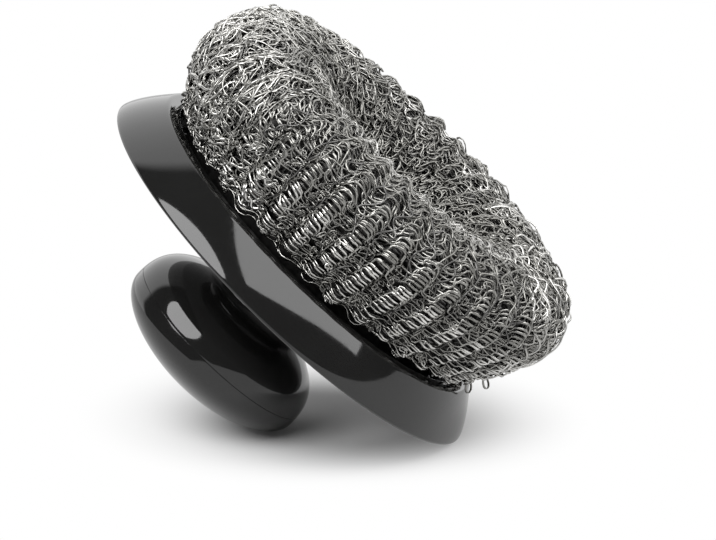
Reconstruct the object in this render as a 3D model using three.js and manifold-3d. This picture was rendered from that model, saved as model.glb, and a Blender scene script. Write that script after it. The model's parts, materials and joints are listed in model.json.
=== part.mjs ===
// A knitted stainless steel scourer in a round plastic dish, with a hollow knob behind the dish.
// Millimetres, +Z up. It lies on its side, as it comes to rest: on the dish's edge and on the knob.
// Every piece is turned about one axis. A station is a distance along that axis from the widest
// circle of the dish, positive towards the scourer and negative towards the knob.

import * as THREE from "three";
import { mergeVertices } from "three/addons/utils/BufferGeometryUtils.js";
import Module from "manifold-3d";

// Clearance between neighbouring pieces
const fitGap = 0.3;

// Holder dish
const dishRadius = 50;
const dishEdgeRound = 0.6;
const dishBackDepth = 5;
const dishWall = 2.6;
const lipRadius = 43.8;
const lipStation = 9.1;
const lipWidth = 3.4;
const sideFullness = 1.3;
const seatRadius = 17;
const postRadius = 6.4;

// Knob
const knobRadius = 22.8;
const knobDistance = 23.4;
const domeDepth = 9.7;
const domeFullness = 1.92;
const shoulderDepth = 13;
const shoulderFullness = 2.63;
const seamRise = 2.1;
const knobWall = 2.2;
const spigotDepth = 2.6;
const spigotWall = 1.5;
const neckRadius = 10.8;
const neckFoot = 1.6;
const screwBossRadius = 5.5;
const screwBossEnd = 1.6;
const shoulderEndQuarter = 0.7;
const cavityFloorQuarter = 0.86;
const cavitySideQuarter = 0.3;

// Scourer pad
const padRadius = 48.6;
const padWidestRise = 18;
const padCrestRise = 28.6;
const padCrestRadius = 34;
const padSwellFullness = 1.35;
const padCrestFullness = 2.5;
const padSag = 1.3;
const padSeatDrop = 3;
const waleCount = 38;
const waleHeight = 2.8;
const stitchShare = 0.3;

// Retaining button and screw
const clampDrop = 3;
const buttonRadius = 10;
const buttonRim = 1.4;
const buttonRise = 4.4;
const headRadius = 3.3;
const headHeight = 2.2;
const screwRadius = 1.7;
const screwReach = 25;
const screwPoint = 3;
const crossLength = 4;
const crossWidth = 0.9;
const crossDepth = 1.3;

// Facets round each turned piece
const dishFacets = 64;
const knobFacets = 48;
const buttonFacets = 32;
const screwFacets = 20;
const facetsPerWale = 3;

// Stations and radii that follow from the sizes above
const backStation = -dishBackDepth;
const lipInner = lipRadius - lipWidth;
const floorStation = backStation + dishWall;
const backSlope = (dishBackDepth - dishEdgeRound) / (dishRadius - dishEdgeRound - seatRadius);
const recessFoot = floorStation + backSlope * (lipInner - dishWall - seatRadius);
const clampStation = lipStation - clampDrop;
const knobStation = -knobDistance;
const seamStation = knobStation + seamRise;
const neckStation = backStation - fitGap;
const screwHole = screwRadius + fitGap;
const buttonStation = clampStation + fitGap;
const buttonTop = buttonStation + buttonRise;
const headHole = headRadius + fitGap;
const headSeat = buttonTop - headHeight - fitGap;
const headStation = headSeat + fitGap;
const screwTip = headStation - screwReach;

const blackPlastic = new THREE.MeshStandardMaterial({ color: 0x0b0b0c, roughness: 0.12, metalness: 0 });
const steelWire = new THREE.MeshStandardMaterial({ color: 0xb9b7b2, roughness: 0.3, metalness: 1 });
const screwSteel = new THREE.MeshStandardMaterial({ color: 0xa9abad, roughness: 0.35, metalness: 1 });

const point = (radius, station) => new THREE.Vector2(radius, station);

// Part of an oval about a point of the section, with angles in quarter turns from the outward
// radius towards the scourer. A fullness of 2 is an ellipse, and more is squarer.
function oval(centre, radialReach, axialReach, fullness, fromQuarter, toQuarter, steps) {
  const points = [];
  for (let step = 0; step <= steps; step += 1) {
    const turn = THREE.MathUtils.lerp(fromQuarter, toQuarter, step / steps) * (Math.PI / 2);
    const across = Math.sign(Math.cos(turn)) * Math.abs(Math.cos(turn)) ** (2 / fullness);
    const along = Math.sign(Math.sin(turn)) * Math.abs(Math.sin(turn)) ** (2 / fullness);
    points.push(point(centre.x + radialReach * across, centre.y + axialReach * along));
  }
  return points;
}

// A bend from one point to another that leaves and arrives along the lines to the corner between.
function bend(from, corner, to, steps) {
  return new THREE.QuadraticBezierCurve(from, corner, to).getPoints(steps);
}

// A solid of revolution, with a facet and not an edge on its lowest side.
function turned(section, facets) {
  const geometry = new THREE.LatheGeometry(section, facets, Math.PI / facets);
  return geometry.rotateX(Math.PI / 2);
}

function named(name, geometry, material) {
  const mesh = new THREE.Mesh(geometry, material);
  mesh.name = name;
  return mesh;
}

// Dish: flat seat and gently raised back, round edge, side drawn in to the lip, then the recess
// for the pad with a post at its middle for the screw.
function dishSection() {
  const edgeCentre = point(dishRadius - dishEdgeRound, 0);
  const edge = oval(edgeCentre, dishEdgeRound, dishEdgeRound, 2, -1, 0, 4);
  const side = [];
  for (const share of [0.25, 0.5, 0.75, 1]) {
    const drawnIn = (dishRadius - lipRadius) * share ** sideFullness;
    side.push(point(dishRadius - drawnIn, lipStation * share));
  }
  const recessCorner = bend(
    point(lipInner, recessFoot + dishWall),
    point(lipInner, recessFoot),
    point(lipInner - dishWall, recessFoot),
    3,
  );
  return [
    point(screwHole, backStation),
    point(seatRadius, backStation),
    ...edge,
    ...side,
    point(lipInner, lipStation),
    ...recessCorner,
    point(seatRadius, floorStation),
    point(postRadius, floorStation),
    point(postRadius, clampStation),
    point(screwHole, clampStation),
    point(screwHole, backStation),
  ];
}

// Quarter turns along the shoulder's oval from the widest circle up to a rise above it.
function shoulderQuarter(rise) {
  return Math.asin((rise / shoulderDepth) ** (shoulderFullness / 2)) / (Math.PI / 2);
}

// Cap of the knob: a domed shell that goes a little past the widest circle, with a spigot that
// enters the base at the seam.
function capSection() {
  const spigotOuter = knobRadius - knobWall - fitGap;
  const spigotInner = spigotOuter - spigotWall;
  const spigotEnd = seamStation + spigotDepth;
  const centre = point(0, knobStation);
  const rimQuarter = shoulderQuarter(seamRise - fitGap);
  const outside = oval(centre, knobRadius, domeDepth, domeFullness, -1, 0, 9);
  const rim = oval(centre, knobRadius, shoulderDepth, shoulderFullness, 0, rimQuarter, 1);
  const inside = oval(centre, spigotInner, domeDepth - knobWall, domeFullness, 0, -1, 5);
  return [
    ...outside,
    ...rim.slice(1),
    point(spigotOuter, seamStation - fitGap),
    point(spigotOuter, spigotEnd),
    point(spigotInner, spigotEnd),
    ...inside,
  ];
}

// Base of the knob: a shell whose shoulder runs into the neck, with a blind boss for the screw.
function baseSection() {
  const centre = point(0, knobStation);
  const innerRadius = knobRadius - knobWall;
  const socketEnd = seamStation + spigotDepth + fitGap;
  const innerDepth = shoulderDepth - knobWall - fitGap;
  const inside = oval(
    centre,
    innerRadius,
    innerDepth,
    shoulderFullness,
    cavityFloorQuarter,
    cavitySideQuarter,
    4,
  );
  const rimQuarter = shoulderQuarter(seamRise);
  const shoulder = oval(
    centre,
    knobRadius,
    shoulderDepth,
    shoulderFullness,
    rimQuarter,
    shoulderEndQuarter,
    7,
  );
  const shoulderEnd = shoulder[shoulder.length - 1];
  const neckMiddle = point(neckRadius, (shoulderEnd.y + neckStation) / 2);
  const throat = bend(shoulderEnd, point(neckRadius, shoulderEnd.y + neckFoot / 2), neckMiddle, 3);
  const foot = bend(
    neckMiddle,
    point(neckRadius, neckStation - neckFoot / 2),
    point(neckRadius + neckFoot, neckStation),
    2,
  );
  const bossStation = screwTip - fitGap - screwBossEnd;
  const cavityFloor = inside[0].y;
  return [
    point(0, bossStation),
    point(screwBossRadius, bossStation),
    point(screwBossRadius, cavityFloor),
    ...inside,
    point(innerRadius, socketEnd),
    point(innerRadius, seamStation),
    ...shoulder,
    ...throat.slice(1),
    ...foot.slice(1),
    point(screwHole, neckStation),
    point(screwHole, screwTip - fitGap),
    point(0, screwTip - fitGap),
  ];
}

// Section of the pad without its stitches: the part in the recess, the swell over the lip, the
// crest and the hollow down to the button.
function padSection() {
  const seatEdge = lipInner - fitGap;
  const lipClear = lipStation + fitGap;
  const widest = lipStation + padWidestRise;
  const hole = postRadius + fitGap;
  const seat = lipStation - padSeatDrop;
  const underside = recessFoot + fitGap;
  const swell = oval(
    point(seatEdge, widest),
    padRadius - seatEdge,
    widest - lipClear,
    padSwellFullness,
    -1,
    0,
    7,
  );
  const crestReach = padCrestRise - padWidestRise;
  const crest = oval(
    point(padCrestRadius, widest),
    padRadius - padCrestRadius,
    crestReach,
    padCrestFullness,
    0,
    1,
    7,
  );
  const hollowDepth = lipStation + padCrestRise - clampStation;
  const lapRadius = buttonRadius + fitGap;
  const hollow = oval(
    point(padCrestRadius, clampStation),
    padCrestRadius - lapRadius,
    hollowDepth,
    2,
    1,
    2,
    10,
  );
  return [
    point(hole, underside),
    point(seatEdge - dishWall, underside),
    point(seatEdge, underside + dishWall),
    point(seatEdge, seat),
    ...swell,
    ...crest.slice(1),
    ...hollow.slice(1),
    point(hole, clampStation),
    point(hole, underside),
  ];
}

// The knit: wales run from the lip over the crest into the hollow, as ridges with a groove between
// two of them, and each second course of stitches stands a little higher. The ridges fade out
// where the pad goes into the dish and narrow with the radius towards the hollow. The soft part
// above the lip sags a little towards the floor.
function knittedPad() {
  const section = padSection();
  const facets = waleCount * facetsPerWale;
  const geometry = new THREE.LatheGeometry(section, facets);
  const places = geometry.getAttribute("position");
  const rows = section.length;
  for (let row = 0; row < rows; row += 1) {
    const here = section[row];
    const before = section[(row + rows - 2) % (rows - 1)];
    const after = section[(row + 1) % (rows - 1)];
    const outward = point(after.y - before.y, before.x - after.x).normalize();
    const shown = THREE.MathUtils.smoothstep(here.y, lipStation + fitGap, lipStation + padWidestRise);
    const course = 1 + stitchShare * Math.cos(Math.PI * row);
    const lift = waleHeight * Math.sqrt(shown) * course * (here.x / padRadius);
    for (let facet = 0; facet <= facets; facet += 1) {
      const turn = (2 * Math.PI * facet) / facets;
      const groove = (1 + Math.cos(waleCount * turn)) / 2;
      const radius = here.x - outward.x * lift * groove;
      const station = here.y - outward.y * lift * groove;
      const across = radius * Math.sin(turn) + padSag * shown;
      places.setXYZ(facet * rows + row, across, station, radius * Math.cos(turn));
    }
  }
  return geometry.rotateX(Math.PI / 2);
}

function buttonSection() {
  const rimTop = buttonStation + buttonRim;
  const dome = oval(point(headHole, rimTop), buttonRadius - headHole, buttonTop - rimTop, 2, 0, 1, 5);
  return [
    point(screwHole, buttonStation),
    point(buttonRadius, buttonStation),
    ...dome,
    point(headHole, headSeat),
    point(screwHole, headSeat),
    point(screwHole, buttonStation),
  ];
}

function screwSection() {
  const crown = oval(point(0, headStation + headHeight / 2), headRadius, headHeight / 2, 2, 0, 1, 4);
  return [
    point(0, screwTip),
    point(screwRadius, screwTip + screwPoint),
    point(screwRadius, headStation),
    point(headRadius, headStation),
    ...crown,
  ];
}

const wasm = await Module();
wasm.setup();

function solidOf(geometry) {
  const bare = geometry.index ? geometry.clone() : mergeVertices(geometry.clone());
  bare.deleteAttribute("normal");
  bare.deleteAttribute("uv");
  const merged = mergeVertices(bare, 1e-4);
  const vertProperties = new Float32Array(merged.getAttribute("position").array);
  const triVerts = new Uint32Array(merged.index.array);
  return new wasm.Manifold(new wasm.Mesh({ numProp: 3, vertProperties, triVerts }));
}

function geometryOf(solid) {
  const mesh = solid.getMesh();
  const geometry = new THREE.BufferGeometry();
  geometry.setAttribute("position", new THREE.BufferAttribute(mesh.vertProperties, 3));
  geometry.setIndex(new THREE.BufferAttribute(mesh.triVerts, 1));
  geometry.computeVertexNormals();
  return geometry;
}

// Screw with a cross recess cut into its head.
function crossScrew() {
  const top = headStation + headHeight;
  let solid = solidOf(turned(screwSection(), screwFacets));
  for (const turn of [0, Math.PI / 2]) {
    const bar = new THREE.BoxGeometry(crossLength, crossWidth, crossDepth * 2);
    bar.rotateZ(turn).translate(0, 0, top);
    solid = solid.subtract(solidOf(bar));
  }
  return geometryOf(solid);
}

// Lean of the axis from the floor at which the dish and the knob both touch it, and the height
// of the dish's widest circle above the floor there.
function lowest(section, facets, lean) {
  const flat = Math.cos(Math.PI / facets);
  const drops = section.map((at) => at.x * flat * Math.cos(lean) - at.y * Math.sin(lean));
  return Math.max(...drops);
}

function restingLean() {
  let low = 0;
  let high = Math.PI / 2;
  for (let round = 0; round < 50; round += 1) {
    const lean = (low + high) / 2;
    if (lowest(dishSection(), dishFacets, lean) > lowest(capSection(), knobFacets, lean)) {
      low = lean;
    } else {
      high = lean;
    }
  }
  return low;
}

const lean = restingLean();
const scourer = new THREE.Group();
scourer.add(named("knob_cap", turned(capSection(), knobFacets), blackPlastic));
scourer.add(named("knob_base", turned(baseSection(), knobFacets), blackPlastic));
scourer.add(named("holder_dish", turned(dishSection(), dishFacets), blackPlastic));
scourer.add(named("scourer_pad", knittedPad(), steelWire));
scourer.add(named("retaining_button", turned(buttonSection(), buttonFacets), blackPlastic));
scourer.add(named("fixing_screw", crossScrew(), screwSteel));
scourer.rotation.y = Math.PI / 2 - lean;
scourer.updateMatrixWorld(true);

// The origin is on the floor under the middle of the outline.
const outline = new THREE.Box3().setFromObject(scourer, true);
const middle = outline.getCenter(new THREE.Vector3());
scourer.position.set(-middle.x, -middle.y, lowest(dishSection(), dishFacets, lean));

const part = new THREE.Group();
part.add(scourer);

export default part;
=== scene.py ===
import json

import bpy
import numpy as np
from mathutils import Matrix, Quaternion, Vector


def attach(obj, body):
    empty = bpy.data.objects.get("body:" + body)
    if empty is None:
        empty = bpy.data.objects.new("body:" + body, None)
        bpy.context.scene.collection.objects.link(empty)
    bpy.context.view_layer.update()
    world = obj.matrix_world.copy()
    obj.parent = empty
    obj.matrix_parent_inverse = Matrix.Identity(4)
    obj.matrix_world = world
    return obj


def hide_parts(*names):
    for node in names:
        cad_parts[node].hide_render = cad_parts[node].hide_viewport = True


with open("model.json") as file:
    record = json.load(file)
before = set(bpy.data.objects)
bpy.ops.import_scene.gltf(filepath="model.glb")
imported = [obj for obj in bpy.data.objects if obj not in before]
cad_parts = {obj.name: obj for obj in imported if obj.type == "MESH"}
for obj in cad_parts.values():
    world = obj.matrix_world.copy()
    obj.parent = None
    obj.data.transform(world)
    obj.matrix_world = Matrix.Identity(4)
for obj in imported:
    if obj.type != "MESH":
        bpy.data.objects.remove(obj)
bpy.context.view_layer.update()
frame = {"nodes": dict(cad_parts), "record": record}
print("frame loaded")

# sizes are in millimetres; points are put into the frame in metres
mm = 0.001
knobDistance = 23.4  # from the dish's widest circle back to the knob's

# the part's own axis, from the grip in the record: along it to the pad, level, and across to the low side
grip = next(mount for mount in frame["record"]["mounts"] if mount["name"] == "knob_grip")
alongDir = -np.array(grip["axis"]) / np.linalg.norm(grip["axis"])
levelDir = np.array([0.0, 1.0, 0.0])
acrossDir = np.cross(levelDir, alongDir)
dishCentre = np.array(grip["pos_m"]) + alongDir * knobDistance * mm


# own coordinates (across, level, station) in millimetres to the frame in metres
def toFrame(points):
    return dishCentre + mm * points @ np.stack([acrossDir, levelDir, alongDir])


def addMesh(name, points, quads, triangles, material, paintedShine=None):
    mesh = bpy.data.meshes.new(name)
    loops = np.concatenate([quads.ravel(), triangles.ravel()])
    starts = np.concatenate([np.arange(len(quads)) * 4, quads.size + np.arange(len(triangles)) * 3])
    mesh.vertices.add(len(points))
    mesh.vertices.foreach_set("co", toFrame(points).ravel())
    mesh.loops.add(len(loops))
    mesh.loops.foreach_set("vertex_index", loops.astype(np.int32))
    mesh.polygons.add(len(starts))
    mesh.polygons.foreach_set("loop_start", starts.astype(np.int32))
    mesh.polygons.foreach_set("use_smooth", np.ones(len(starts), bool))
    mesh.update(calc_edges=True)
    # per-point share of painted highlight, low where shade is painted, for the wire's colour
    if paintedShine is not None:
        mesh.attributes.new("bareShine", "FLOAT", "POINT").data.foreach_set("value", paintedShine.ravel())
    mesh.materials.append(material)
    piece = bpy.data.objects.new(name, mesh)
    bpy.context.collection.objects.link(piece)
    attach(piece, "root")
    return piece


# part of an oval in the section: a fullness of 2 is an ellipse, and more is squarer
def oval(centre, radial, axial, fullness, fromQuarter, toQuarter, steps):
    turn = np.linspace(fromQuarter, toQuarter, steps) * np.pi / 2
    cosine, sine = np.cos(turn), np.sin(turn)
    radius = centre[0] + radial * np.sign(cosine) * np.abs(cosine) ** (2 / fullness)
    station = centre[1] + axial * np.sign(sine) * np.abs(sine) ** (2 / fullness)
    return np.stack([radius, station], 1)


# a small round at a corner: a parabola that starts and ends along the two sides
def bend(start, corner, end, steps=6):
    t = np.linspace(0, 1, steps)[:, None]
    return (1 - t) ** 2 * np.array(start) + 2 * t * (1 - t) * np.array(corner) + t**2 * np.array(end)


# a section of radius and station carried round the axis; a row on the axis is one point
def revolve(name, section, turns, material):
    onAxis = section[:, 0] < 1e-6
    first = np.concatenate([[0], np.cumsum(np.where(onAxis, 1, turns))])[:-1]
    step = np.arange(turns)
    index = first[:, None] + np.where(onAxis[:, None], 0, step)
    angle = step * 2 * np.pi / turns
    radius, station = section[:, :1], section[:, 1:]
    grid = np.stack([radius * np.cos(angle), radius * np.sin(angle), station + 0 * angle], -1)
    points = grid[~onAxis[:, None] | (step == 0)]
    rows = index if onAxis.any() else np.concatenate([index, index[:1]])
    near, far = rows[:, step], rows[:, (step + 1) % turns]
    quads = np.stack([near[:-1], far[:-1], far[1:], near[1:]], -1).reshape(-1, 4)
    atStart, atEnd = quads[:, 0] == quads[:, 1], quads[:, 2] == quads[:, 3]
    triangles = np.concatenate([quads[atStart][:, [0, 2, 3]], quads[atEnd][:, [0, 1, 2]]])
    return addMesh(name, points, quads[~atStart & ~atEnd], triangles, material)


# a flat wire carried along many paths: width across the path, one for all or one for each point,
# thickness towards the outward side, both turned about the path by the twist, and the share of painted
# highlight at each point, low where shade is painted
def wire(name, paths, outward, width, thickness, closed, material, twist=0.0, paintedShine=None):
    strands, steps = paths.shape[:2]
    corner = np.array([(1, 1), (-1, 1), (-1, -1), (1, -1)]) / 2
    sides = len(corner)
    ahead = np.roll(paths, -1, 1) - np.roll(paths, 1, 1) if closed else np.gradient(paths, axis=1)
    ahead /= np.linalg.norm(ahead, axis=2, keepdims=True) + 1e-9
    across = np.cross(ahead, outward)
    across /= np.linalg.norm(across, axis=2, keepdims=True) + 1e-9
    upward = np.cross(across, ahead)
    twist, width = (np.broadcast_to(value, paths.shape[:2])[..., None] for value in (twist, width))
    flat = (across * np.cos(twist) + upward * np.sin(twist)) * width
    thick = (upward * np.cos(twist) - across * np.sin(twist)) * thickness
    points = paths[:, :, None] + flat[:, :, None] * corner[:, :1] + thick[:, :, None] * corner[:, 1:]
    index = np.arange(strands * steps * sides).reshape(strands, steps, sides)
    after = np.roll(index, -1, 1) if closed else index[:, 1:]
    here = index if closed else index[:, :-1]
    quads = np.stack([here, after, np.roll(after, -1, 2), np.roll(here, -1, 2)], -1).reshape(-1, 4)
    if not closed:
        quads = np.concatenate([quads, index[:, 0], index[:, -1, ::-1]])
    if paintedShine is not None:
        paintedShine = np.repeat(paintedShine[:, :, None], sides, 2)
    return addMesh(name, points.reshape(-1, 3), quads, np.zeros((0, 3), int), material, paintedShine=paintedShine)


def newNodes(nodes, *kinds):
    return [nodes.new("ShaderNode" + kind) for kind in kinds]


# a range node that turns smoothly from one value to another between two edges
def setFade(fade, edges, values):
    fade.interpolation_type = "SMOOTHSTEP"
    for label, value in zip(("From Min", "From Max", "To Min", "To Max"), (*edges, *values)):
        fade.inputs[label].default_value = value


# shared effect: a soft mottle over the surface, between a low and a high value
def makeMottle():
    group = bpy.data.node_groups.new("surfaceMottle", "ShaderNodeTree")
    for label, value in (("Scale", 100.0), ("Detail", 3.0), ("Low", 0.0), ("High", 1.0)):
        group.interface.new_socket(label, in_out="INPUT", socket_type="NodeSocketFloat").default_value = value
    group.interface.new_socket("Value", in_out="OUTPUT", socket_type="NodeSocketFloat")
    nodes, links = group.nodes, group.links
    given, result = nodes.new("NodeGroupInput"), nodes.new("NodeGroupOutput")
    place, noise, spread = newNodes(nodes, "TexCoord", "TexNoise", "MapRange")
    spread.inputs["From Min"].default_value = 0.3  # most of the noise lies between these two
    spread.inputs["From Max"].default_value = 0.7
    links.new(place.outputs["Object"], noise.inputs["Vector"])
    links.new(given.outputs["Scale"], noise.inputs["Scale"])
    links.new(given.outputs["Detail"], noise.inputs["Detail"])
    links.new(noise.outputs["Fac"], spread.inputs["Value"])
    links.new(given.outputs["Low"], spread.inputs["To Min"])
    links.new(given.outputs["High"], spread.inputs["To Max"])
    links.new(spread.outputs["Result"], result.inputs["Value"])
    return group


mottleGroup = makeMottle()


def mottle(tree, scale, detail, low, high):
    node = tree.nodes.new("ShaderNodeGroup")
    node.node_tree = mottleGroup
    for label, value in (("Scale", scale), ("Detail", detail), ("Low", low), ("High", high)):
        node.inputs[label].default_value = value
    return node.outputs["Value"]


def newMaterial(name):
    material = bpy.data.materials.new(name)
    material.use_nodes = True
    return material, material.node_tree, material.node_tree.nodes["Principled BSDF"]


# the first colour may come from another node
def blendColours(tree, factor, dark, light):
    mix = tree.nodes.new("ShaderNodeMix")
    mix.data_type = "RGBA"
    first, second = mix.inputs[6], mix.inputs[7]
    if isinstance(dark, tuple):
        first.default_value = (*dark, 1)
    else:
        tree.links.new(dark, first)
    second.default_value = (*light, 1)
    tree.links.new(factor, mix.inputs["Factor"])
    return mix.outputs[2]


def addBump(tree, shader, height, distance, strength):
    bump = tree.nodes.new("ShaderNodeBump")
    bump.inputs["Distance"].default_value = distance
    bump.inputs["Strength"].default_value = strength
    tree.links.new(height, bump.inputs["Height"])
    tree.links.new(bump.outputs["Normal"], shader.inputs["Normal"])


plasticFinish = {
    "dark": (0.008, 0.008, 0.0078),
    "light": (0.0115, 0.0115, 0.0112),
    "blotch": (60, 3),  # scale and detail of the mottle in the colour
    "gloss": (0.045, 0.085),  # roughness from and to
    "grain": (900, 4),  # scale and detail of the mottle in the gloss
    "flow": 0.000012,  # height of the moulded flow waves in metres
    "flowWave": (120, 1),
    "flowStrength": 0.5,
    "ior": 1.65,
}


def makePlastic(name, finish):
    material, tree, shader = newMaterial(name)
    colour = blendColours(tree, mottle(tree, *finish["blotch"], 0, 1), finish["dark"], finish["light"])
    tree.links.new(colour, shader.inputs["Base Color"])
    tree.links.new(mottle(tree, *finish["grain"], *finish["gloss"]), shader.inputs["Roughness"])
    shader.inputs["IOR"].default_value = finish["ior"]
    addBump(tree, shader, mottle(tree, *finish["flowWave"], 0, 1), finish["flow"], finish["flowStrength"])
    return material


# two colours, roughness from and to, and the painted highlight colour, blended in by the share of painted
# highlight at each point; the under and deep finishes are the same steel painted darker as shade
steelFinishes = {
    "wireSteel": {
        "dark": (0.2, 0.197, 0.185),
        "light": (0.38, 0.374, 0.35),
        "gloss": (0.15, 0.28),
        "bare": (0.95, 0.94, 0.91),
    },
    # painted shade: the same steel, darker, for wire that lies lower in the pad
    "paintedShadeSteel": {"dark": (0.13, 0.128, 0.124), "light": (0.26, 0.256, 0.248), "gloss": (0.25, 0.4)},
    # painted shade: the same steel, darker still, for the pad's core
    "paintedDeepShadeSteel": {"dark": (0.04, 0.039, 0.038), "light": (0.1, 0.098, 0.095), "gloss": (0.4, 0.6)},
    "screwSteel": {"dark": (0.5, 0.5, 0.5), "light": (0.62, 0.62, 0.62), "gloss": (0.25, 0.4)},
}
steelMottle = {"stain": (700, 2), "streak": (400, 3)}  # scale and detail, in the colour and in the gloss


def makeSteel(name, finish):
    material, tree, shader = newMaterial(name)
    colour = blendColours(tree, mottle(tree, *steelMottle["stain"], 0, 1), finish["dark"], finish["light"])
    # painted light: the colour turns towards the painted highlight colour by the share of painted highlight
    # at each point
    if "bare" in finish:
        paintedShine = tree.nodes.new("ShaderNodeAttribute")
        paintedShine.attribute_name = "bareShine"
        colour = blendColours(tree, paintedShine.outputs["Fac"], colour, finish["bare"])
    tree.links.new(colour, shader.inputs["Base Color"])
    tree.links.new(mottle(tree, *steelMottle["streak"], *finish["gloss"]), shader.inputs["Roughness"])
    shader.inputs["Metallic"].default_value = 1.0
    return material


blackPlastic = makePlastic("blackPlastic", plasticFinish)
wireSteel, paintedShadeSteel, paintedDeepShadeSteel, screwSteel = (makeSteel(*item) for item in steelFinishes.items())
print("materials ready")


dishShape = {
    "radius": 50.0,
    "edgeRound": 0.6,
    "backDepth": 5.0,
    "wall": 2.6,
    "lipRadius": 43.8,
    "lipStation": 9.1,
    "lipWidth": 3.4,
    "sideFullness": 1.3,
    "seatRadius": 17.0,
    "postRadius": 6.4,
    "postStation": 6.1,
    "holeRadius": 2.0,
    "sideFrom": 0.02,  # share of the side's height where it leaves the edge
    "lipRound": (0.95, 0.7),  # from this share of the side to this far inside the lip's outer circle
    "cornerRound": 0.4,
    "turns": 256,
}


# flat seat for the knob, sloping back, round edge, side drawn in as a power of the height, lip, recess
# and the post for the screw
def makeDish(shape):
    radius, wall, back = shape["radius"], shape["wall"], shape["backDepth"]
    seat, post, hole = shape["seatRadius"], shape["postRadius"], shape["holeRadius"]
    lip, outer, small = shape["lipStation"], shape["lipRadius"], shape["cornerRound"]
    inner, edgeRound = outer - shape["lipWidth"], shape["edgeRound"]
    roundFrom, roundTo = shape["lipRound"]
    share = np.linspace(shape["sideFrom"], roundFrom, 30)
    drawnIn = (radius - outer) * share ** shape["sideFullness"]
    side = np.stack([radius - drawnIn, lip * share], 1)
    floor = wall - back
    slope = (back - edgeRound) / (radius - edgeRound - seat)
    foot = floor + slope * (inner - wall - seat)
    section = np.concatenate([
        [(hole, -back), (seat, -back)],
        oval((radius - edgeRound, 0), edgeRound, edgeRound, 2, -1, 0, 16),
        side,
        bend(side[-1], (outer, lip), (outer - roundTo, lip), 10)[1:],
        bend((inner + small, lip), (inner, lip), (inner, lip - small)),
        bend((inner, foot + wall), (inner, foot), (inner - wall, foot)),
        [(seat, floor), (post, floor), (post, shape["postStation"]), (hole, shape["postStation"])],
    ])
    dish = revolve("dishMoulding", section, shape["turns"], blackPlastic)
    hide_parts("holder_dish")


makeDish(dishShape)
print("dish done")


knobShape = {
    "radius": 22.8,
    "domeDepth": 9.7,
    "domeFullness": 1.92,
    "shoulderDepth": 13.0,
    "shoulderFullness": 2.63,
    "shoulderEnd": 0.7,  # in quarter turns along the shoulder's oval, where it turns into the neck
    "insideQuarters": (0.86, 0.3),  # of the shoulder's inside, from the boss to the socket
    "seamRise": 2.1,  # from the widest circle to the seam
    "seamGap": 0.07,
    "seamRound": 0.06,
    "fitGap": 0.3,
    "wall": 2.2,
    "spigotDepth": 2.6,
    "spigotWall": 1.5,
    "neckRadius": 10.8,
    "neckFoot": 1.6,
    "neckStation": -5.3,
    "bossRadius": 5.5,
    "bossStation": -18.3,
    "holeRadius": 2.0,
    "holeStation": -16.7,
    "turns": 192,
}


# quarter turns along the shoulder's oval from the widest circle up to a rise above it
def shoulderQuarter(shape, rise):
    return np.arcsin((rise / shape["shoulderDepth"]) ** (shape["shoulderFullness"] / 2)) / (np.pi / 2)


# domed shell past the widest circle up to the seam, with a spigot, open towards the dish
def makeCap(shape):
    centre, small = (0, -knobDistance), shape["seamRound"]
    rim = shape["seamRise"] - shape["seamGap"]
    seam = -knobDistance + shape["seamRise"]
    spigotOuter = shape["radius"] - shape["wall"] - shape["fitGap"]
    spigotInner = spigotOuter - shape["spigotWall"]
    outside = oval(centre, shape["radius"], shape["domeDepth"], shape["domeFullness"], -1, 0, 60)
    outside[0, 0] = 0
    rimQuarter = shoulderQuarter(shape, rim - small)
    side = oval(centre, shape["radius"], shape["shoulderDepth"], shape["shoulderFullness"], 0, rimQuarter, 8)
    inside = oval(centre, spigotInner, shape["domeDepth"] - shape["wall"], shape["domeFullness"], 0, -1, 16)
    inside[-1, 0] = 0
    edge, rimStation, end = side[-1, 0], -knobDistance + rim, seam + shape["spigotDepth"]
    section = np.concatenate([
        outside,
        side[1:],
        bend(side[-1], (edge, rimStation), (edge - small, rimStation))[1:],
        [(spigotOuter, rimStation), (spigotOuter, end), (spigotInner, end)],
        inside,
    ])
    cap = revolve("knobDome", section, shape["turns"], blackPlastic)
    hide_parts("knob_cap")


# shell from the seam over the shoulder into the neck, with the blind boss for the screw inside;
# the neck's fillet goes on along the shoulder's last slope
def makeBase(shape):
    centre, small = (0, -knobDistance), shape["seamRound"]
    seam, inner = -knobDistance + shape["seamRise"], shape["radius"] - shape["wall"]
    neck, neckEnd, neckFoot = shape["neckRadius"], shape["neckStation"], shape["neckFoot"]
    socketEnd = seam + shape["spigotDepth"] + shape["fitGap"]
    innerDepth = shape["shoulderDepth"] - shape["wall"] - shape["fitGap"]
    fullness = shape["shoulderFullness"]
    inside = oval(centre, inner, innerDepth, fullness, *shape["insideQuarters"], 16)
    quarters = shoulderQuarter(shape, shape["seamRise"] + small), shape["shoulderEnd"]
    shoulder = oval(centre, shape["radius"], shape["shoulderDepth"], fullness, *quarters, 40)
    edge, end = shoulder[0, 0], shoulder[-1]
    slope = (end[1] - shoulder[-2, 1]) / (end[0] - shoulder[-2, 0])
    turnIn = (neck, end[1] + slope * (neck - end[0]))
    middle = (neck, (end[1] + neckEnd) / 2)
    section = np.concatenate([
        [(0, shape["bossStation"]), (shape["bossRadius"], shape["bossStation"])],
        [(shape["bossRadius"], inside[0, 1])],
        inside,
        [(inner, socketEnd), (inner, seam)],
        bend((edge - small, seam), (edge, seam), shoulder[0]),
        shoulder[1:],
        bend(end, turnIn, middle, 10)[1:],
        bend(middle, (neck, neckEnd - neckFoot / 2), (neck + neckFoot, neckEnd), 8)[1:],
        [(shape["holeRadius"], neckEnd), (shape["holeRadius"], shape["holeStation"])],
        [(0, shape["holeStation"])],
    ])
    base = revolve("knobShoulder", section, shape["turns"], blackPlastic)
    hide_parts("knob_base")


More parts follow.
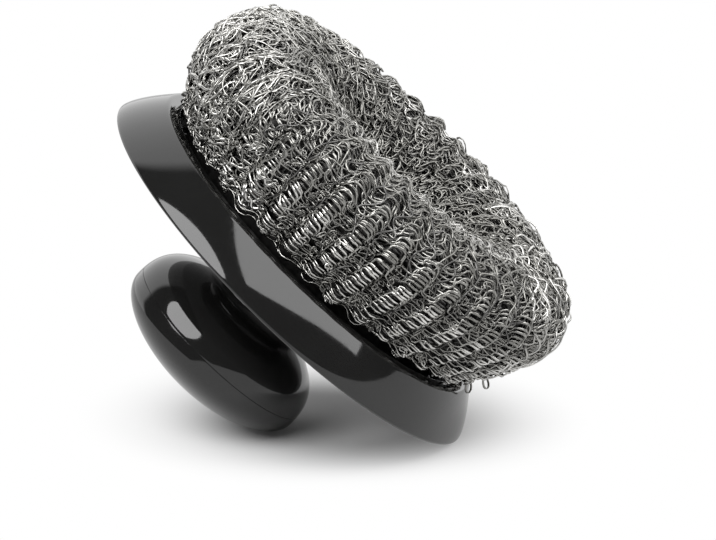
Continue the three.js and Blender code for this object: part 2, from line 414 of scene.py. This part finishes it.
makeCap(knobShape)
makeBase(knobShape)
print("knob done")


buttonShape = {
    "radius": 10.0,
    "station": 6.4,
    "edgeRound": 0.4,
    "rim": 1.4,
    "rise": 4.4,
    "holeRadius": 2.0,
    "headHole": 3.6,
    "headSeat": 8.3,
    "turns": 96,
}


# low dome with a counterbored hole for the screw's head
def makeButton(shape):
    radius, low, small = shape["radius"], shape["station"], shape["edgeRound"]
    rimTop, top = low + shape["rim"], low + shape["rise"]
    section = np.concatenate([
        [(shape["holeRadius"], low)],
        bend((radius - small, low), (radius, low), (radius, low + small)),
        oval((shape["headHole"], rimTop), radius - shape["headHole"], top - rimTop, 2, 0, 1, 20),
        [(shape["headHole"], shape["headSeat"]), (shape["holeRadius"], shape["headSeat"])],
    ])
    button = revolve("holdingButton", section, shape["turns"], blackPlastic)
    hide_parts("retaining_button")


makeButton(buttonShape)
screw = frame["nodes"]["fixing_screw"]
screw.data.materials.clear()
screw.data.materials.append(screwSteel)
print("button and screw done")


padShape = {
    "radius": 48.6,
    "widestRise": 18.0,
    "crestRise": 29.3,
    "crestRadius": 34.0,
    "swellFullness": 1.35,
    "crestFullness": 2.5,
    "sag": (0.8, 2.0),  # how far it hangs to the low side at the lip and at its widest
    "bulge": {"height": 1.8, "turn": 180.0, "way": 14.5, "turnSpread": 35.0, "waySpread": 5.0},
    "seatRadius": 40.1,
    "lipGap": 0.3,
    "hollowRadius": 10.3,
    "hollowStation": 6.1,
    "skinPoints": 900,
}
lipStation = dishShape["lipStation"]


# the pad's skin from the lip over the crest into the hollow, as points evenly far apart along it
def padSkin(shape):
    widest, crest = lipStation + shape["widestRise"], lipStation + shape["crestRise"]
    radius, seat, crestRadius = shape["radius"], shape["seatRadius"], shape["crestRadius"]
    swell, third = widest - lipStation - shape["lipGap"], shape["skinPoints"] // 3
    rise, outward = crest - widest, radius - crestRadius
    hollow, inward = shape["hollowStation"], crestRadius - shape["hollowRadius"]
    line = np.concatenate([
        oval((seat, widest), radius - seat, swell, shape["swellFullness"], -1, 0, third),
        oval((crestRadius, widest), outward, rise, shape["crestFullness"], 0, 1, third)[1:],
        oval((crestRadius, hollow), inward, crest - hollow, 2, 1, 2, third)[1:],
    ])
    length = np.concatenate([[0], np.cumsum(np.linalg.norm(np.diff(line, axis=0), axis=1))])
    even = np.linspace(0, length[-1], shape["skinPoints"])
    line = np.stack([np.interp(even, length, line[:, 0]), np.interp(even, length, line[:, 1])], 1)
    run = np.gradient(line, axis=0)
    out = np.stack([run[:, 1], -run[:, 0]], 1)
    return even, line, out / np.linalg.norm(out, axis=1, keepdims=True)


skinLength, skinLine, skinOut = padSkin(padShape)
padLength = skinLength[-1]


# 0 below the first value, 1 above the second, and smooth between
def smoothStep(value, low, high):
    share = np.clip((value - low) / (high - low), 0, 1)
    return share**2 * (3 - 2 * share)


# degrees round the axis between a turn in radians and a direction in degrees
def degreesFrom(turn, degrees):
    return np.abs((np.degrees(turn) - degrees + 180) % 360 - 180)


def skinRadius(way):
    return np.interp(way, skinLength, skinLine[:, 0])


# a place on the pad: turn round the axis, way along the skin, height over it; with the outward direction.
# the pad hangs to its low side, and its high side bulges by a bell curve of turn and way
def onPad(turn, way, height):
    radius, station, outRadius, outStation = (
        np.interp(way, skinLength, column) for column in (*skinLine.T, *skinOut.T)
    )
    lipSag, widestSag = padShape["sag"]
    sag = lipSag + (widestSag - lipSag) * smoothStep(station, lipStation, lipStation + padShape["widestRise"])
    bulge = padShape["bulge"]
    beside = degreesFrom(turn, bulge["turn"]) / bulge["turnSpread"]
    along = (way - bulge["way"]) / bulge["waySpread"]
    height = height + bulge["height"] * np.exp(-(beside**2 + along**2) / 2)
    radius, station = radius + outRadius * height, station + outStation * height
    place = np.stack([radius * np.cos(turn) + sag, radius * np.sin(turn), station], -1)
    out = np.stack([outRadius * np.cos(turn), outRadius * np.sin(turn), outStation + 0 * turn], -1)
    return place, out


ribShape = {
    "wales": 38,
    "depth": 2.8,
    "atLip": 0.45,
    "filled": 0.4,  # how far tangled wire fills the grooves
    "calm": 0.18,  # disorder that is left where the knit is calm
    "calmTurn": 304.0,
    "calmEdge": (50, 80),  # degrees to both sides of the calm turn
    "calmTop": (20, 31),  # way along the skin
}


# how untidy the knit is: calm on the low near side below the crest, tangled elsewhere
def disorder(turn, way):
    aside = degreesFrom(turn, ribShape["calmTurn"])
    tangled = np.maximum(smoothStep(aside, *ribShape["calmEdge"]), smoothStep(way, *ribShape["calmTop"]))
    return ribShape["calm"] + (1 - ribShape["calm"]) * tangled


# 1 on the middle of a wale, 0 in the middle of a groove
def ridgeShare(turn):
    return (1 + np.cos(ribShape["wales"] * turn)) / 2


# height of the ribbed form: each wale is a ridge, and between two wales the skin dips into a groove
# that opens above the lip, narrows with the radius and is partly filled where the knit is tangled
def ribHeight(turn, way):
    radius, station = (np.interp(way, skinLength, column) for column in skinLine.T)
    swelled = smoothStep(station, lipStation + padShape["lipGap"], lipStation + padShape["widestRise"])
    opened = np.sqrt(ribShape["atLip"] + (1 - ribShape["atLip"]) * swelled)
    filled = 1 - ribShape["filled"] * disorder(turn, way)
    groove = (1 - np.cos(ribShape["wales"] * turn)) / 2
    return -ribShape["depth"] * opened * filled * groove * radius / padShape["radius"]


driftWaves = ((2, 17.0), (3, 11.0), (5, 8.0), (9, 6.0))  # cycles round the axis and pace along the skin


# slow waves that carry the rows of stitches off their straight lines: sums of sine times cosine
def drift(turn, way, seed):
    chance = np.random.default_rng(seed)
    total = 0
    for cycles, pace in driftWaves:
        shift = chance.uniform(0, 2 * np.pi, 2)
        total = total + np.sin(cycles * turn + way / pace + shift[0]) * np.cos(way / pace * 0.7 + shift[1])
    return total / len(driftWaves)


# where light and shade are painted on the wire: levels, turns in degrees and ways along the skin, with the
# edges where it fades
paintedLightPlaces = {
    "ladder": {"level": 1.4, "until": (16.5, 19), "base": 0.65, "way": 15, "spread": 2.2},
    "lip": {"level": 0.45, "until": (4, 8)},
    "limb": {"level": 0.8, "turn": 162, "turnSpread": 38, "way": 24, "waySpread": 9},
    "far": {"turn": 90, "edge": (45, 75), "since": (28, 35), "until": (47, 53)},
    "patch": {"turnPace": 5, "wayPace": 4, "seed": 5, "edge": (-0.1, 0.2)},
    "chain": {"level": 0.5, "way": 43.5, "spread": 1.6, "turn": 265, "edge": (55, 80)},
    "shade": {"groove": 0.9, "since": (17, 19), "until": (23, 25)},
    "lowSide": {"level": 0.24, "turn": 310, "edge": (70, 110), "until": (22, 32)},
}


def bell(value, middle, spread):
    return np.exp(-(((value - middle) / spread) ** 2) / 2)


def fadeOut(value, edges):
    return 1 - smoothStep(value, *edges)


# the painted light on the wire, the most of these: painted highlights on the ridges of the calm side like a
# ladder, on those of the lip, on the high side's limb, in patches in the grooves far over and in a chain
# along the near crest, and a lighter low side, with painted shade in its grooves and on the ridges just above
# the ladder
def paintedLightOnWire(turn, way):
    ladder, lip, limb, far, patch, chain, shade, lowSide = paintedLightPlaces.values()
    ridge, calm = ridgeShare(turn), 1 - disorder(turn, way)
    glint = ladder["base"] + (1 - ladder["base"]) * bell(way, ladder["way"], ladder["spread"])
    onLadder = ladder["level"] * ridge**2 * calm * glint * fadeOut(way, ladder["until"])
    onLip = lip["level"] * ridge * fadeOut(way, lip["until"])
    beside = bell(degreesFrom(turn, limb["turn"]), 0, limb["turnSpread"])
    onLimb = limb["level"] * beside * bell(way, limb["way"], limb["waySpread"])
    farSide = fadeOut(degreesFrom(turn, far["turn"]), far["edge"])
    farOver = farSide * smoothStep(way, *far["since"]) * fadeOut(way, far["until"])
    waves = drift(patch["turnPace"] * turn, patch["wayPace"] * way, patch["seed"])
    patches = farOver * (1 - ridge) * smoothStep(waves, *patch["edge"])
    nearSide = fadeOut(degreesFrom(turn, chain["turn"]), chain["edge"])
    onChain = chain["level"] * bell(way, chain["way"], chain["spread"]) * nearSide
    aboveLadder = ridge * smoothStep(way, *shade["since"]) * fadeOut(way, shade["until"])
    lit = 1 - calm * np.maximum(aboveLadder, shade["groove"] * (1 - ridge))
    beside = fadeOut(degreesFrom(turn, lowSide["turn"]), lowSide["edge"])
    onLowSide = lowSide["level"] * beside * fadeOut(way, lowSide["until"]) * lit
    ridges = np.minimum(np.maximum(onLadder, onLip), 1)
    return np.max(np.broadcast_arrays(ridges, onLowSide, onChain, onLimb, patches), axis=0)


# small kinks along each wire: random steps evened out over a few neighbours round the ring
def kinks(chance, rows, steps, spread):
    rough = chance.normal(size=(rows, steps))
    even = sum(np.roll(rough, shift, 1) * (spread + 1 - abs(shift)) for shift in range(-spread, spread + 1))
    return even / even.std()


# every piece of the pad stands for its solid
def standForPad(piece):
    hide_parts("scourer_pad")
    return piece


knitShape = {
    "pitch": 1.0,  # from course to course along the skin
    "segments": 12,
    "reach": (0.35, 1.5),  # half of a loop's length along the wale, at the lip and above the swell
    "swell": (3, 15),  # ways between which the reach grows
    "pinch": 0.085,  # how far a loop's neck closes
    "kink": (0.45, 0.5, 0.3),  # across, along and out of the skin, in millimetres, where it is most tangled
    "kinkSpread": 4,
    "twist": 0.4,
    "twistSpread": 3,
    "loose": (0.85, 0.5),  # share of the kinks at the loops' feet and in the lowest courses
    "lowest": (3, 6),  # ways between which the lowest courses end
    "strayAcross": 0.14,  # heads that stray, where it is tangled
    "strayAlong": (0.2, 0.45, 0.3),  # anywhere, more where it is tangled, more in the lowest courses
    "strayOut": (0.15, 0.15),
    "driftAcross": 0.4,
    "driftAlong": 0.7,
    "driftOut": (0.3, 0.25),  # by the waves, and sunk in
    "ends": (0.8, 0.5),  # how near it comes to the skin's two ends
    "width": (0.32, 0.6, 0.38),  # in the grooves, on the ridges, and where it is tangled
    "thickness": 0.22,
    "fromWay": 1.5,
    "toWay": 42.0,
    "depth": -0.1,
    "flip": 0,
}


# a course is a closed ring of loops on the ribs: across = stitch + pinch sin(2 phase) and
# along = -reach cos(phase), with the loop's head on a ridge and its foot in the groove, or the other
# way round where it is flipped; strays, slow waves and kinks are added to both and out of the skin
def knitRows(shape, seed):
    chance = np.random.default_rng(seed)
    wales, segments, flip = ribShape["wales"], shape["segments"], shape["flip"]
    steps = wales * segments
    courses = int((shape["toWay"] - shape["fromWay"]) / shape["pitch"])
    stitch = np.arange(steps) / segments
    phase = 2 * np.pi * (stitch % 1)
    head = (1 - np.cos(phase)) / 2
    level = np.linspace(shape["fromWay"], shape["toWay"], courses)[:, None]
    turn = 2 * np.pi / wales * (stitch - 0.5 + flip / 2)
    mess, lowest = disorder(turn, level), fadeOut(level, shape["lowest"])
    footLoose, lowLoose = shape["loose"]
    loose = np.maximum(np.maximum(mess, footLoose * (head if flip else 1 - head)), lowLoose * lowest)
    short, long = shape["reach"]
    reach = (1 - 2 * flip) * (short + (long - short) * smoothStep(level, *shape["swell"]))
    stray = chance.normal(size=(courses, wales, 3))[:, stitch.astype(int)] * head[:, None]
    acrossKink, alongKink, outKink = (
        loose * size * kinks(chance, courses, steps, shape["kinkSpread"]) for size in shape["kink"]
    )
    twist = loose * shape["twist"] * kinks(chance, courses, steps, shape["twistSpread"])
    waves, bunch = drift(turn, level, seed + 1), drift(turn, level, seed + 2)
    tangled = mess * (shape["strayAcross"] * stray[..., 0] + shape["driftAcross"] * waves)
    sideways = shape["pinch"] * np.sin(2 * phase) + tangled
    across = turn + 2 * np.pi / wales * sideways + acrossKink / skinRadius(level)
    anywhere, inMess, inLowest = shape["strayAlong"]
    along = level - reach * np.cos(phase) + (anywhere + inMess * mess + inLowest * lowest) * stray[..., 1]
    along = along + mess * shape["driftAlong"] * bunch + alongKink
    along = np.clip(along, shape["ends"][0], padLength - shape["ends"][1])
    anywhere, inMess = shape["strayOut"]
    bunched, sunk = shape["driftOut"]
    lift = (anywhere + inMess * mess) * stray[..., 2] + mess * (bunched * bunch - sunk) + outKink
    place, out = onPad(across, along, ribHeight(across, along) + lift - shape["depth"])
    grooveWidth, ridgeWidth, tangledWidth = shape["width"]
    width = grooveWidth + (ridgeWidth - grooveWidth) * ridgeShare(across)
    # with the share of painted highlight at each point, low where shade is painted
    return place, out, width + (tangledWidth - width) * mess, twist, paintedLightOnWire(across, along)


def addKnit(name, shape, seed, material):
    place, out, width, twist, paintedShine = knitRows(shape, seed)
    return standForPad(wire(name, place, out, width, shape["thickness"], True, material, twist, paintedShine))


knit = addKnit("knitOuter", knitShape, 11, wireSteel)
hollowKnit = dict(knitShape, pitch=1.2, segments=10, fromWay=42.9, toWay=padLength - 1.5)
addKnit("knitHollow", hollowKnit, 17, wireSteel)
thinWire = dict(knitShape, width=(0.38, 0.38, 0.38), toWay=padLength - 2.5)
# the lower knit layers are in steel painted darker as shade
addKnit("knitUnder", dict(thinWire, pitch=1.7, segments=9, depth=0.9, flip=1, fromWay=3.6), 23, paintedShadeSteel)
addKnit("knitDeep", dict(thinWire, pitch=2.2, segments=7, depth=1.8, fromWay=4.4), 29, paintedShadeSteel)
print("knit done")


tangleShape = {
    "count": 900,
    "steps": 14,
    "way": (2.0, padLength - 6),
    "radius": (0.8, 2.2),
    "narrow": 0.6,  # the short radius as a share of the long one's range
    "depth": (-1.0, -0.1),
    "keep": 1.5,  # the power of the disorder that thins them out
    "inGroove": 0,
    "grooveSpread": 0.13,  # in wales
    "tip": 0.4,
    "ripple": 0.2,
    "lowest": 0.4,  # least way along the skin
    "width": 0.34,
    "thickness": 0.22,
    "twist": 0.3,
}


# loose rings of wire lying in the skin: an ellipse about a random place, turned in the skin and tipped
# out of it; few lie where the knit is calm, unless they belong into the grooves or the gap over the lip
def looseRings(name, shape, seed):
    chance = np.random.default_rng(seed)
    count = shape["count"]
    turn = chance.uniform(0, 2 * np.pi, (count, 1))
    way = chance.uniform(*shape["way"], (count, 1))
    kept = chance.uniform(size=count) < disorder(turn, way)[:, 0] ** shape["keep"]
    turn, way, count = turn[kept], way[kept], kept.sum()
    wale = 2 * np.pi / ribShape["wales"]
    groove = (np.floor(turn / wale) + 0.5 + chance.normal(0, shape["grooveSpread"], (count, 1))) * wale
    turn = turn + shape["inGroove"] * (groove - turn)
    low, high = shape["radius"]
    narrow = shape["narrow"]
    height = chance.uniform(*shape["depth"], (count, 1))
    big = chance.uniform(low, high, (count, 1))
    small = chance.uniform(low * narrow, high * narrow, (count, 1))
    spin, tip = chance.uniform(0, np.pi, (count, 1)), chance.normal(0, shape["tip"], (count, 1))
    angle = np.arange(shape["steps"]) * 2 * np.pi / shape["steps"]
    x, y = big * np.cos(angle), small * np.sin(angle) * np.cos(tip)
    lift = small * np.sin(angle) * np.sin(tip) + shape["ripple"] * np.sin(3 * angle + 6 * spin)
    sideways, ahead = x * np.cos(spin) - y * np.sin(spin), x * np.sin(spin) + y * np.cos(spin)
    turn = turn + sideways / skinRadius(way)
    ahead = np.maximum(way + ahead, shape["lowest"])
    place, out = onPad(turn, ahead, ribHeight(turn, ahead) + height + lift)
    # the rings take the painted highlight and painted shade of their place
    look = shape["width"], shape["thickness"], True, wireSteel, shape["twist"], paintedLightOnWire(turn, ahead)
    standForPad(wire(name, place, out, *look))


looseRings("looseRings", tangleShape, 37)
smallRing = dict(tangleShape, steps=10, keep=0, width=0.3)
grooveRing = dict(smallRing, way=(4, 24), radius=(0.5, 1.3), depth=(-0.2, 0.7), inGroove=1)
looseRings("grooveCurls", dict(grooveRing, count=700), 41)
looseRings("lipCurls", dict(smallRing, count=220, way=(1.2, 4.2), radius=(0.5, 1.1), depth=(-0.6, 0.4)), 43)


strandShape = {
    "count": 900,
    "steps": 14,
    "turn": (0, 360),
    "way": (5, padLength - 8),
    "length": (5.0, 17.0),
    "lean": (0.0, 0.8),  # from the wales, in radians, and its spread
    "waves": (0.7, 2.2),  # on the whole length
    "sway": (0.2, 0.9),  # of the waves to both sides, in millimetres
    "swayOut": 0.3,  # share of the sway that goes out of the skin
    "arch": 0.4,  # how far the middle stands out
    "depth": (-1.0, 0.0),
    "ends": (0.5, 1),  # how near they come to the skin's two ends
    "keep": 3,
    # highest random painted highlight level on a strand
    "paintedShine": 0.0,
    "width": 0.34,
    "thickness": 0.22,
    "twist": 0.3,
}


# long stray wires, straight in the skin but for a wave to both sides, which starts by the wire's turn;
# few lie where the knit is calm
def strayStrands(name, shape, seed):
    chance = np.random.default_rng(seed)
    count = shape["count"]
    turn = np.radians(chance.uniform(*shape["turn"], (count, 1)))
    way = chance.uniform(*shape["way"], (count, 1))
    kept = chance.uniform(size=count) < disorder(turn, way)[:, 0] ** shape["keep"]
    turn, way, count = turn[kept], way[kept], kept.sum()
    share = np.linspace(-0.5, 0.5, shape["steps"])
    length = chance.uniform(*shape["length"], (count, 1))
    lean = chance.normal(*shape["lean"], (count, 1))
    waves = 2 * np.pi * share * chance.uniform(*shape["waves"], (count, 1)) + turn * 9
    wave = chance.uniform(*shape["sway"], (count, 1)) * np.sin(waves)
    sideways = length * share * np.sin(lean) + wave * np.cos(lean)
    ahead = way + length * share * np.cos(lean) - wave * np.sin(lean)
    ahead = np.clip(ahead, shape["ends"][0], padLength - shape["ends"][1])
    height = chance.uniform(*shape["depth"], (count, 1)) + shape["arch"] * np.cos(2 * np.pi * share)
    height = height + shape["swayOut"] * wave
    turn = turn + sideways / skinRadius(way)
    place, out = onPad(turn, ahead, ribHeight(turn, ahead) + height)
    # painted highlight: the painted light of the place, or a random share of the strand's painted highlight
    # level if that is more
    paintedShine = np.maximum(paintedLightOnWire(turn, ahead), shape["paintedShine"] * chance.uniform(size=(count, 1)))
    look = shape["width"], shape["thickness"], False, wireSteel, shape["twist"], paintedShine
    standForPad(wire(name, place, out, *look))


strayStrands("strayStrands", strandShape, 53)
longWire = dict(strandShape, length=(6, 14), depth=(-0.3, 0.3), keep=0, width=0.42)
# the limb, end and broad strands carry painted highlights at the level given to each
limbWire = dict(longWire, turn=(115, 225), way=(10, 36), lean=(0.1, 0.3), width=0.5, paintedShine=0.95)
strayStrands("limbStrands", dict(limbWire, count=320), 57)
endWire = dict(longWire, turn=(-35, 45), way=(8, 46), lean=(0, 0.35), paintedShine=0.9)
strayStrands("endStrands", dict(endWire, count=210), 59)
broadWire = dict(longWire, length=(2.5, 7), depth=(-0.1, 0.5), lean=(1.4, 0.25), width=0.56, paintedShine=0.8)
strayStrands("broadStrands", dict(broadWire, count=130, turn=(160, 240), way=(1.5, 15)), 67)


grooveShape = {
    "perGroove": 2,
    "steps": 40,
    "fromWay": 3.0,
    "toWay": 40.0,
    "start": (0, 0.35),  # shares of the way from and to
    "end": (0.7, 1),
    "aside": 0.12,  # in wales
    "swing": (0.06, 0.2),
    "pace": (2, 5),
    "lift": (0.25, 0.2),  # over the groove, and how much this varies
    "width": 0.34,
    "thickness": 0.24,
}


# thin wires along the grooves, in steel painted darker as shade: each keeps to the middle of its groove with
# a slow wave to both sides
def grooveWires(name, shape, seed):
    chance = np.random.default_rng(seed)
    count = ribShape["wales"] * shape["perGroove"]
    groove = (np.arange(count) // shape["perGroove"] + 0.5)[:, None]
    share = np.linspace(0, 1, shape["steps"])
    start, end = chance.uniform(*shape["start"], (count, 1)), chance.uniform(*shape["end"], (count, 1))
    way = shape["fromWay"] + (shape["toWay"] - shape["fromWay"]) * (start + (end - start) * share)
    offset, swing = chance.normal(0, shape["aside"], (count, 1)), chance.uniform(*shape["swing"], (count, 1))
    pace, shift = chance.uniform(*shape["pace"], (count, 1)), chance.uniform(0, 2 * np.pi, (count, 1))
    turn = 2 * np.pi / ribShape["wales"] * (groove + offset + swing * np.sin(way / pace * 2 + shift))
    lift, change = shape["lift"]
    height = ribHeight(turn, way) + lift + change * np.cos(way / pace * 3 + shift)
    standForPad(wire(name, *onPad(turn, way, height), shape["width"], shape["thickness"], False, paintedShadeSteel))


grooveWires("grooveWires", grooveShape, 61)


# loops that hang out of the knit: turn in degrees, way and how far they stand out in millimetres
hangingShape = {
    "places": (
        (344, 3.0, 3.4), (351, 5.5, 2.6), (338, 2.0, 1.8), (12, 4.0, 2.2),
        (205, 4.0, 1.6), (172, 9.0, 1.5), (95, 6.0, 2.4), (60, 12.0, 1.8),
    ),
    "steps": 14,
    "half": 1.1,
    "past": 0.25,  # how far past half a turn the feet go, in radians
    "skew": 0.4,
    "width": 0.42,
    "thickness": 0.2,
}


# each loop is half an oval: its feet in the skin, its head as far out as the place says
def hangLoops(name, shape):
    degrees, way, out = np.array(shape["places"]).T[:, :, None]
    angle = np.linspace(-shape["past"], np.pi + shape["past"], shape["steps"])
    turn = np.radians(degrees) + shape["half"] * np.cos(angle) / skinRadius(way)
    along = way + shape["skew"] * np.sin(2 * angle)
    paths = onPad(turn, along, ribHeight(turn, along) + out * np.sin(angle))
    standForPad(wire(name, *paths, shape["width"], shape["thickness"], False, wireSteel))


hangLoops("hangingLoops", hangingShape)


coreShape = {
    "depth": 2.4,
    "lipDepth": 5.0,
    "lipEdge": (2, 6),  # ways between which the depth changes
    "lump": 0.2,
    "lumpEdge": (1, 5),
    "seatInset": 4.0,
    "seatStations": (10.0, 1.4),
    "footRound": 2.0,
    "floor": 0.8,
    "postRadius": 8.0,
    "postStation": 5.0,
    "around": 228,
    "along": 100,
}


# the imported inside of the pad: the ribbed form set back by a depth, further back in the dark gap over
# the lip, with small lumps, closed through the recess, in steel painted dark as the shade deep in the wire
def makeCore(name, shape, seed):
    way = np.linspace(0, padLength, shape["along"])[:, None]
    turn = np.arange(shape["around"]) * 2 * np.pi / shape["around"]
    lumps = np.random.default_rng(seed).normal(0, shape["lump"], (shape["along"], shape["around"]))
    depth = shape["lipDepth"] + (shape["depth"] - shape["lipDepth"]) * smoothStep(way, *shape["lipEdge"])
    height = ribHeight(turn, way) + lumps * smoothStep(way, *shape["lumpEdge"]) - depth
    place, _ = onPad(turn + 0 * way, way + 0 * turn, height)
    seat, floor, post = padShape["seatRadius"] - shape["seatInset"], shape["floor"], shape["postRadius"]
    wall = [(seat, station) for station in shape["seatStations"]]
    rings = np.array([*wall, (seat - shape["footRound"], floor), (post, floor), (post, shape["postStation"])])
    under = np.stack([rings[:, :1] * np.cos(turn), rings[:, :1] * np.sin(turn), rings[:, 1:] + 0 * turn], -1)
    grid = np.concatenate([place, under[::-1]])
    rows, around = grid.shape[:2]
    index = np.arange(rows * around).reshape(rows, around)
    right, above = np.roll(index, -1, 1), np.roll(index, -1, 0)
    quads = np.stack([index, right, np.roll(above, -1, 1), above], -1).reshape(-1, 4)
    standForPad(addMesh(name, grid.reshape(-1, 3), quads, np.zeros((0, 3), int), paintedDeepShadeSteel))


makeCore("padCore", coreShape, 71)
print("pad done")


cameraSet = {
    "azimuth": 2.34,
    "elevation": 14.67,
    "roll": 1.16,
    "distance": 1.5,
    "pixelsPerMetre": 4729.0,
    "pictureWidth": 716,
    "sensorWidth": 36,
    "right": 0.014236,  # from the middle of the dish to the middle of the picture, in metres
    "up": 0.000376,
}


# the direction away from the object at a turn from the front and a height, both in degrees
def awayDir(turn, height):
    turn, height = np.radians(turn), np.radians(height)
    return Vector((np.sin(turn) * np.cos(height), -np.cos(turn) * np.cos(height), np.sin(height)))


def makeCamera(given):
    azimuth = np.radians(given["azimuth"])
    back = awayDir(given["azimuth"], given["elevation"])
    roll = Quaternion(back, np.radians(given["roll"]))
    right = roll @ Vector((np.cos(azimuth), np.sin(azimuth), 0))
    aim = Vector(dishCentre) + right * given["right"] + back.cross(right) * given["up"]
    data = bpy.data.cameras.new("camera")
    data.sensor_width = given["sensorWidth"]
    data.lens = given["pixelsPerMetre"] * given["distance"] * given["sensorWidth"] / given["pictureWidth"]
    data.clip_end = 50
    camera = bpy.data.objects.new("camera", data)
    bpy.context.collection.objects.link(camera)
    camera.location = aim + back * given["distance"]
    camera.rotation_mode = "QUATERNION"
    camera.rotation_quaternion = roll @ (-back).to_track_quat("-Z", "Y")
    bpy.context.scene.camera = camera


makeCamera(cameraSet)


floorSet = {
    "radius": 4.0,
    "sides": 96,
    "colour": (0.8, 0.8, 0.8),
    "roughness": 0.9,
    "fadeCentre": (-0.001, 0.007, 0.0),
    "fade": (0.018, 0.056),  # from and to, in metres
    "whiteNear": 0.02,
    "inGloss": 0.72,  # brightness of the white as the gloss sees it
}


# a wide disc; what the camera and the gloss see of it turns to plain white away from the object
def makeFloor(given):
    sides = given["sides"]
    angle = np.linspace(0, 2 * np.pi, sides + 1)[:-1]
    points = np.stack([given["radius"] * np.cos(angle), given["radius"] * np.sin(angle), 0 * angle], 1)
    mesh = bpy.data.meshes.new("floor")
    mesh.from_pydata(points.tolist(), [], [list(range(sides))])
    material, tree, shader = newMaterial("paleFloor")
    nodes, links = tree.nodes, tree.links
    shader.inputs["Base Color"].default_value = (*given["colour"], 1)
    shader.inputs["Roughness"].default_value = given["roughness"]
    shader.inputs["Specular IOR Level"].default_value = 0.0
    place, size, fade, path = newNodes(nodes, "TexCoord", "VectorMath", "MapRange", "LightPath")
    size.operation = "DISTANCE"
    size.inputs[1].default_value = given["fadeCentre"]
    setFade(fade, given["fade"], (given["whiteNear"], 1.0))
    seen, share, level, glow, mix = newNodes(nodes, "Math", "Math", "Math", "Emission", "MixShader")
    seen.operation, share.operation, level.operation = "MAXIMUM", "MULTIPLY", "MULTIPLY_ADD"
    level.inputs[1].default_value = given["inGloss"] - 1
    level.inputs[2].default_value = 1.0
    links.new(place.outputs["Object"], size.inputs[0])
    links.new(size.outputs["Value"], fade.inputs["Value"])
    links.new(path.outputs["Is Camera Ray"], seen.inputs[0])
    links.new(path.outputs["Is Glossy Ray"], seen.inputs[1])
    links.new(seen.outputs[0], share.inputs[0])
    links.new(fade.outputs["Result"], share.inputs[1])
    links.new(share.outputs[0], mix.inputs["Fac"])
    links.new(shader.outputs["BSDF"], mix.inputs[1])
    links.new(path.outputs["Is Glossy Ray"], level.inputs[0])
    links.new(level.outputs[0], glow.inputs["Strength"])
    links.new(glow.outputs["Emission"], mix.inputs[2])
    links.new(mix.outputs["Shader"], nodes["Material Output"].inputs["Surface"])
    mesh.materials.append(material)
    floor = bpy.data.objects.new("floor", mesh)
    bpy.context.collection.objects.link(floor)


makeFloor(floorSet)


# turn, height and roll round the object in degrees, distance and sizes in metres, brightness as seen
softboxes = {
    "leftBox": {
        "shape": "DISK",
        "turn": -34,
        "height": 50,
        "roll": 0,
        "distance": 6.0,
        "size": (5.76, 5.76),
        "paintedLightOnWire": 4.6,
    },
    "rightBox": {
        "shape": "RECTANGLE",
        "turn": 74.5,
        "height": 43.2,
        "roll": -53.3,
        "distance": 6.0,
        "size": (6.55, 4.2),
        "paintedLightOnWire": 3.0,
    },
}
lampAim = Vector((0, 0, 0.04))


def makeSoftbox(name, given):
    away = awayDir(given["turn"], given["height"])
    data = bpy.data.lights.new(name, "AREA")
    data.shape = given["shape"]
    data.size, data.size_y = given["size"]
    area = data.size * data.size_y * (np.pi / 4 if given["shape"] == "DISK" else 1)
    data.energy = given["paintedLightOnWire"] * np.pi * area
    lamp = bpy.data.objects.new(name, data)
    bpy.context.collection.objects.link(lamp)
    lamp.location = lampAim + away * given["distance"]
    lamp.rotation_mode = "QUATERNION"
    lamp.rotation_quaternion = away.to_track_quat("Z", "Y") @ Quaternion((0, 0, 1), np.radians(given["roll"]))
    lamp.visible_camera = False


for name, given in softboxes.items():
    makeSoftbox(name, given)


# brightness in front and behind, the share of it that lights, and the edge between them as a direction's Y
roomSet = {"front": 0.07, "back": 1.2, "diffuse": 0.7, "edge": (0.24, 0.38)}


# the room: white behind the object, dim on the camera's side; the camera itself sees plain white
def makeRoom(given):
    world = bpy.data.worlds.new("studio")
    bpy.context.scene.world = world
    world.use_nodes = True
    nodes, links = world.node_tree.nodes, world.node_tree.links
    background = nodes["Background"]
    background.inputs["Color"].default_value = (1, 1, 1, 1)
    place, parts, fade, path = newNodes(nodes, "TexCoord", "SeparateXYZ", "MapRange", "LightPath")
    setFade(fade, given["edge"], (given["front"], given["back"]))
    ambient, gloss, seen = newNodes(nodes, "Math", "Mix", "Mix")
    ambient.operation = "MULTIPLY"
    ambient.inputs[1].default_value = given["diffuse"]
    seen.inputs["B"].default_value = 1.0
    links.new(place.outputs["Generated"], parts.inputs["Vector"])
    links.new(parts.outputs["Y"], fade.inputs["Value"])
    links.new(fade.outputs["Result"], ambient.inputs[0])
    links.new(ambient.outputs[0], gloss.inputs["A"])
    links.new(path.outputs["Is Glossy Ray"], gloss.inputs["Factor"])
    links.new(fade.outputs["Result"], gloss.inputs["B"])
    links.new(path.outputs["Is Camera Ray"], seen.inputs["Factor"])
    links.new(gloss.outputs["Result"], seen.inputs["A"])
    links.new(seen.outputs["Result"], background.inputs["Strength"])


makeRoom(roomSet)
bpy.context.scene.view_settings.view_transform = "Standard"
print("camera, floor and light ready")
